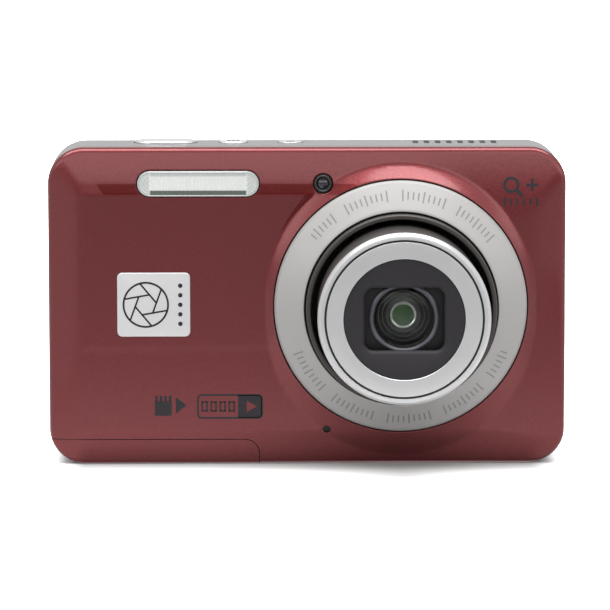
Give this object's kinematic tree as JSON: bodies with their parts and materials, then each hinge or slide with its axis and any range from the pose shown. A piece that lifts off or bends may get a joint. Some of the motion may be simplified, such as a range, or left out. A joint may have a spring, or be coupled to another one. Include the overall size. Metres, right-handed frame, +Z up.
{
  "type": "compact digital camera",
  "caption": "Pocket camera with a telescoping zoom lens, sliding lens barrier, sprung buttons, rear screen, hinged battery door and a flap over its data port.",
  "frame": {"origin": "middle of the base, half way between the lens front and the rear buttons, with the camera standing on its base", "axes": "+X to the right as seen from in front of the lens, +Y from the lens towards the rear screen, +Z up"},
  "size_m": [0.0918, 0.0368, 0.0569],
  "materials": {
    "red_metallic": "metallic gloss",
    "grey_satin": "satin",
    "silver_ring": "satin",
    "bright_trim": "brushed",
    "barrel_dark": "satin",
    "mask_dark": "satin",
    "blade_black": "satin",
    "lens_glass": "polished",
    "flash_diffuser": "ribbed",
    "flash_mirror": "polished",
    "tube_glass": "polished",
    "lamp_lens": "frosted",
    "badge_silver": "satin",
    "screen_black": "gloss",
    "screen_panel": "dark",
    "button_silver": "satin",
    "button_chrome": "polished",
    "control_grey": "satin",
    "rubber_grey": "matte",
    "steel": "satin",
    "screw_steel": "satin",
    "black_plastic": "matte",
    "gear_white": "matte",
    "motor_steel": "satin",
    "board_green": "satin",
    "chip_black": "matte",
    "sensor_glass": "polished",
    "battery_wrap": "satin",
    "contact_gold": "polished",
    "latch_orange": "matte",
    "card_blue": "satin",
    "capacitor_sleeve": "satin"
  },
  "bodies": {
    "camera_body": {"front_cover": "red_metallic", "rear_cover": "grey_satin", "cover_screws": "screw_steel", "chassis": "steel", "badge_plate": "badge_silver", "lens_ring": "silver_ring", "fixed_barrel": "black_plastic", "zoom_motor": "motor_steel", "image_sensor": "sensor_glass", "focus_motor": "motor_steel", "focus_screw": "steel", "door_pin": "steel", "tripod_socket": "steel", "battery": "battery_wrap", "battery_holder": "black_plastic", "battery_contacts": "contact_gold", "memory_card": "card_blue", "card_slot": "steel", "flash_window": "flash_diffuser", "flash_reflector": "flash_mirror", "flash_tube": "tube_glass", "flash_capacitor": "capacitor_sleeve", "focus_lamp": "lamp_lens", "keypad_board": "board_green", "tact_switches": "steel", "usb_port": "steel", "strap_lug": "steel", "main_board": "board_green", "board_chips": "chip_black", "lcd_window": "screen_black", "lcd_panel": "screen_panel"},
    "zoom_ring": {"cam_barrel": "black_plastic"},
    "zoom_idler": {"idler_gear": "gear_white"},
    "zoom_pinion": {"motor_pinion": "contact_gold"},
    "outer_barrel": {"barrel_1": "barrel_dark"},
    "inner_barrel": {"barrel_2": "barrel_dark", "front_cap": "bright_trim", "front_mask": "mask_dark", "lens_group_1": "lens_glass"},
    "blade_upper": {"barrier_blade_upper": "blade_black"},
    "blade_lower": {"barrier_blade_lower": "blade_black"},
    "second_group": {"shutter_unit": "black_plastic", "lens_group_2": "lens_glass"},
    "focus_group": {"lens_3_cell": "black_plastic", "lens_group_3": "lens_glass"},
    "door_hinge": {"door_leaf": "steel"},
    "door": {"battery_door": "red_metallic"},
    "latch": {"battery_latch": "latch_orange"},
    "port_flap": {"port_cover": "rubber_grey"},
    "shutter_key": {"shutter_button": "button_silver"},
    "power_key": {"power_button": "button_chrome"},
    "video_key": {"video_button": "button_silver"},
    "menu_key": {"menu_button": "control_grey"},
    "playback_key": {"playback_button": "control_grey"},
    "delete_key": {"delete_button": "control_grey"},
    "display_key": {"display_button": "control_grey"},
    "nav_gimbal": {"nav_web": "black_plastic"},
    "nav_pad": {"nav_ring": "control_grey"},
    "ok_key": {"ok_button": "button_silver"},
    "rocker": {"zoom_rocker": "control_grey"}
  },
  "joints": [
    {"name": "outer_barrel_slide", "type": "slide", "parent": "camera_body", "child": "outer_barrel", "axis": [0, 1, 0], "range_m": [-0.00119, 0.0056]},
    {"name": "zoom_turn", "type": "hinge", "parent": "camera_body", "child": "zoom_ring", "pos_m": [0.0165, 0.006, 0.0286], "axis": [0, -1, 0], "range_deg": [-34.5, 160.5]},
    {"name": "idler_turn", "type": "hinge", "parent": "camera_body", "child": "zoom_idler", "pos_m": [0.00015, 0.0107, 0.01388], "axis": [0, -1, 0], "range_deg": [-722, 155]},
    {"name": "pinion_turn", "type": "hinge", "parent": "camera_body", "child": "zoom_pinion", "pos_m": [-0.00476, 0.0107, 0.01044], "axis": [0, -1, 0], "range_deg": [-309, 1443]},
    {"name": "inner_barrel_slide", "type": "slide", "parent": "outer_barrel", "child": "inner_barrel", "axis": [0, 1, 0], "range_m": [-0.00181, 0.00851]},
    {"name": "second_group_slide", "type": "slide", "parent": "outer_barrel", "child": "second_group", "axis": [0, 1, 0], "range_m": [-0.0007, 0.0033]},
    {"name": "barrier_upper_slide", "type": "slide", "parent": "inner_barrel", "child": "blade_upper", "axis": [0, 0, -1], "range_m": [0, 0.0056]},
    {"name": "barrier_lower_slide", "type": "slide", "parent": "inner_barrel", "child": "blade_lower", "axis": [0, 0, 1], "range_m": [0, 0.0056]},
    {"name": "focus_slide", "type": "slide", "parent": "camera_body", "child": "focus_group", "axis": [0, -1, 0], "range_m": [0, 0.0016]},
    {"name": "door_swing", "type": "hinge", "parent": "camera_body", "child": "door_hinge", "pos_m": [-0.0266, 0.0144, 0.0011], "axis": [1, 0, 0], "range_deg": [0, 70]},
    {"name": "door_slide", "type": "slide", "parent": "door_hinge", "child": "door", "axis": [-1, 0, 0], "range_m": [0, 0.0024]},
    {"name": "latch_slide", "type": "slide", "parent": "camera_body", "child": "latch", "axis": [1, 0, 0], "range_m": [0, 0.0018], "stiffness_N_per_m": 150},
    {"name": "port_flap_hinge", "type": "hinge", "parent": "camera_body", "child": "port_flap", "pos_m": [-0.04517, 0.0116, 0.02077], "axis": [0, -1, 0], "range_deg": [0, 100]},
    {"name": "shutter_press", "type": "slide", "parent": "camera_body", "child": "shutter_key", "axis": [0, 0, -1], "range_m": [0, 0.0005], "stiffness_N_per_m": 300},
    {"name": "power_press", "type": "slide", "parent": "camera_body", "child": "power_key", "axis": [0, 0, -1], "range_m": [0, 0.00035], "stiffness_N_per_m": 300},
    {"name": "video_press", "type": "slide", "parent": "camera_body", "child": "video_key", "axis": [0, 0, -1], "range_m": [0, 0.00035], "stiffness_N_per_m": 300},
    {"name": "menu_press", "type": "slide", "parent": "camera_body", "child": "menu_key", "axis": [0, -1, 0], "range_m": [0, 0.00035], "stiffness_N_per_m": 300},
    {"name": "playback_press", "type": "slide", "parent": "camera_body", "child": "playback_key", "axis": [0, -1, 0], "range_m": [0, 0.00035], "stiffness_N_per_m": 300},
    {"name": "delete_press", "type": "slide", "parent": "camera_body", "child": "delete_key", "axis": [0, -1, 0], "range_m": [0, 0.00035], "stiffness_N_per_m": 300},
    {"name": "display_press", "type": "slide", "parent": "camera_body", "child": "display_key", "axis": [0, -1, 0], "range_m": [0, 0.00035], "stiffness_N_per_m": 300},
    {"name": "ok_press", "type": "slide", "parent": "camera_body", "child": "ok_key", "axis": [0, -1, 0], "range_m": [0, 0.00035], "stiffness_N_per_m": 300},
    {"name": "nav_tilt_up_down", "type": "hinge", "parent": "camera_body", "child": "nav_gimbal", "pos_m": [-0.0302, 0.0156, 0.025], "axis": [1, 0, 0], "range_deg": [-2, 2], "stiffness_Nm_per_rad": 0.05},
    {"name": "nav_tilt_left_right", "type": "hinge", "parent": "nav_gimbal", "child": "nav_pad", "pos_m": [-0.0302, 0.0156, 0.025], "axis": [0, 0, 1], "range_deg": [-2, 2], "stiffness_Nm_per_rad": 0.05},
    {"name": "rocker_tilt", "type": "hinge", "parent": "camera_body", "child": "rocker", "pos_m": [-0.0315, 0.0162, 0.0494], "axis": [0, 0, 1], "range_deg": [-3, 3], "stiffness_Nm_per_rad": 0.05}
  ],
  "couplings": [
    {"joint": "zoom_turn", "follows": "outer_barrel_slide", "rad_per_m": 498.67},
    {"joint": "idler_turn", "follows": "outer_barrel_slide", "rad_per_m": -2244},
    {"joint": "pinion_turn", "follows": "outer_barrel_slide", "rad_per_m": 4488},
    {"joint": "inner_barrel_slide", "follows": "outer_barrel_slide", "ratio": 1.5179},
    {"joint": "second_group_slide", "follows": "outer_barrel_slide", "ratio": 0.58929},
    {"joint": "barrier_lower_slide", "follows": "barrier_upper_slide", "ratio": 1}
  ]
}
